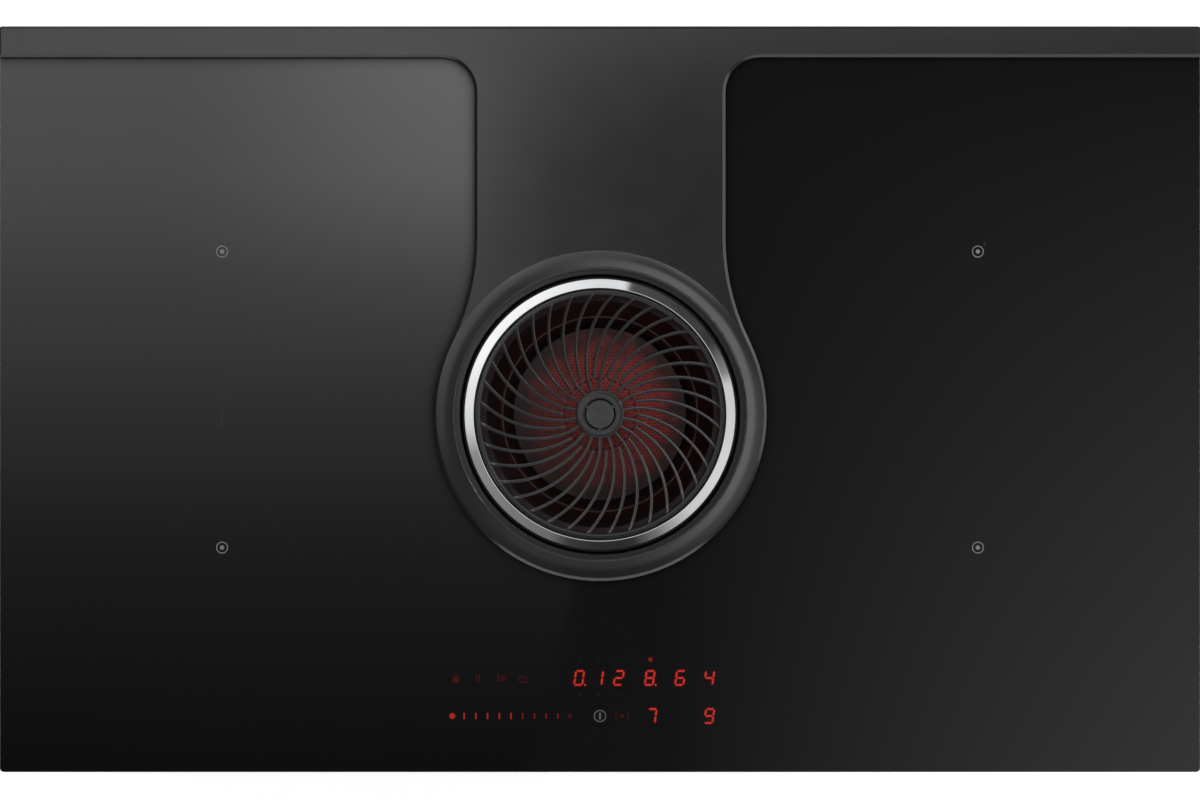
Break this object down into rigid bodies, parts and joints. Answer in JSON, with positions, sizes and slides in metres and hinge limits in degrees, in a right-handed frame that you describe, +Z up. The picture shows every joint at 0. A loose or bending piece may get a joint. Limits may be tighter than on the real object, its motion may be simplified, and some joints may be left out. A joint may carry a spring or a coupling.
{
  "type": "downdraft induction cooktop",
  "caption": "Built-in induction cooktop with a central downdraft intake, turning chrome ring, lift-out grille and filter, blower case below and a flat rear duct spigot.",
  "frame": {"origin": "centre of the plate's footprint, level with the underside of the lower case", "axes": "+X to the user's right along the long side, +Y to the wall behind, +Z up through the worktop"},
  "size_m": [0.83, 0.515, 0.226],
  "materials": {
    "glass_ceramic": "black glass-ceramic, polished, opaque from above",
    "frame_coat": "die-cast aluminium, fine matt dark grey coating",
    "seal_foam": "closed-cell sealing strip",
    "black_polymer": "glass-filled polyamide, moulded matt",
    "slide_polymer": "natural low-friction polymer",
    "knob_coat": "anodised dark, satin",
    "polished_chrome": "bright polished chrome plate",
    "plated_steel": "zinc-plated steel",
    "spring_steel": "bright spring strip",
    "galvanised_steel": "galvanised sheet with a fine spangle",
    "grille_enamel": "cast, satin dark enamel",
    "filter_metal": "dark painted filter shell",
    "filter_mesh_red": "perforated sheet under red light",
    "board_green": "glass-epoxy board with green mask",
    "display_polymer": "dark display housing",
    "ferrite": "sintered ferrite, matt",
    "silicone": "red-brown silicone",
    "mica": "pressed mica sheet",
    "capacitor_can": "sleeved aluminium can",
    "copper_winding": "enamelled copper litz winding",
    "impeller_polymer": "moulded grey polymer",
    "plain_aluminium": "plain extruded or sheet aluminium",
    "red_light": "translucent red light guide"
  },
  "bodies": {
    "root": {"blower_mounts": "silicone", "board_standoffs": "slide_polymer", "bottom_cover": "galvanised_steel", "cable_gland": "black_polymer", "capacitors": "capacitor_can", "case_screws": "plated_steel", "coil_carriers": "slide_polymer", "coil_left_front": "copper_winding", "coil_left_rear": "copper_winding", "coil_pads": "silicone", "coil_right_front": "copper_winding", "coil_right_rear": "copper_winding", "collar_gasket": "seal_foam", "collar_nut": "black_polymer", "display_modules": "display_polymer", "duct_spigot": "black_polymer", "fan_frame_left": "black_polymer", "fan_frame_right": "black_polymer", "ferrite_bars": "ferrite", "glass_top": "glass_ceramic", "heatsink_left": "plain_aluminium", "heatsink_right": "plain_aluminium", "induction_tray": "galvanised_steel", "intake_cup": "black_polymer", "knob_track": "slide_polymer", "light_ring": "red_light", "lower_case": "galvanised_steel", "mica_sheets": "mica", "motor_housing": "plain_aluminium", "outlet_box": "black_polymer", "power_board_left": "board_green", "power_board_right": "board_green", "scroll_base": "black_polymer", "scroll_cover": "black_polymer", "side_springs": "spring_steel", "support_plate_left": "plain_aluminium", "support_plate_right": "plain_aluminium", "support_posts": "plated_steel", "temperature_sensors": "slide_polymer", "terminal_block": "slide_polymer", "tray_runners": "slide_polymer", "tray_walls": "galvanised_steel", "trim_frame": "frame_coat", "turn_sensor_board": "board_green", "ui_board": "board_green", "worktop_seal": "seal_foam"},
    "knob": {"knob_ring": "knob_coat", "knob_trim": "polished_chrome", "knob_magnets": "plated_steel"},
    "filter": {"filter_bowl": "filter_metal", "filter_mesh": "filter_mesh_red"},
    "grille": {"grille": "grille_enamel", "hub_cap": "grille_enamel"},
    "impeller": {"impeller": "impeller_polymer", "motor_shaft": "plated_steel"},
    "fan_left": {"fan_rotor_left": "impeller_polymer"},
    "fan_right": {"fan_rotor_right": "impeller_polymer"},
    "flap_upper": {"backflow_flap_upper": "impeller_polymer"},
    "flap_lower": {"backflow_flap_lower": "impeller_polymer"},
    "drip_tray": {"drip_tray": "black_polymer"}
  },
  "joints": [
    {"name": "knob_turn", "type": "hinge", "parent": "root", "child": "knob", "pos_m": [0, -0.0102, 0.2175], "axis": [0, 0, 1], "continuous": true},
    {"name": "filter_lift", "type": "slide", "parent": "root", "child": "filter", "axis": [0, 0, 1], "range_m": [0, 0.08]},
    {"name": "grille_lift", "type": "slide", "parent": "filter", "child": "grille", "axis": [0, 0, 1], "range_m": [0, 0.06]},
    {"name": "impeller_spin", "type": "hinge", "parent": "root", "child": "impeller", "pos_m": [0, -0.0102, 0.07], "axis": [0, 0, 1], "continuous": true},
    {"name": "fan_left_spin", "type": "hinge", "parent": "root", "child": "fan_left", "pos_m": [-0.2612, 0.1948, 0.17], "axis": [0, 0, 1], "continuous": true},
    {"name": "fan_right_spin", "type": "hinge", "parent": "root", "child": "fan_right", "pos_m": [0.2612, 0.1948, 0.17], "axis": [0, 0, 1], "continuous": true},
    {"name": "flap_upper_swing", "type": "hinge", "parent": "root", "child": "flap_upper", "pos_m": [0.09, 0.203, 0.109], "axis": [1, 0, 0], "range_deg": [0, 75]},
    {"name": "flap_lower_swing", "type": "hinge", "parent": "root", "child": "flap_lower", "pos_m": [0.09, 0.203, 0.0685], "axis": [1, 0, 0], "range_deg": [0, 75]},
    {"name": "drip_tray_slide", "type": "slide", "parent": "root", "child": "drip_tray", "axis": [0, -1, 0], "range_m": [0, 0.15]}
  ]
}
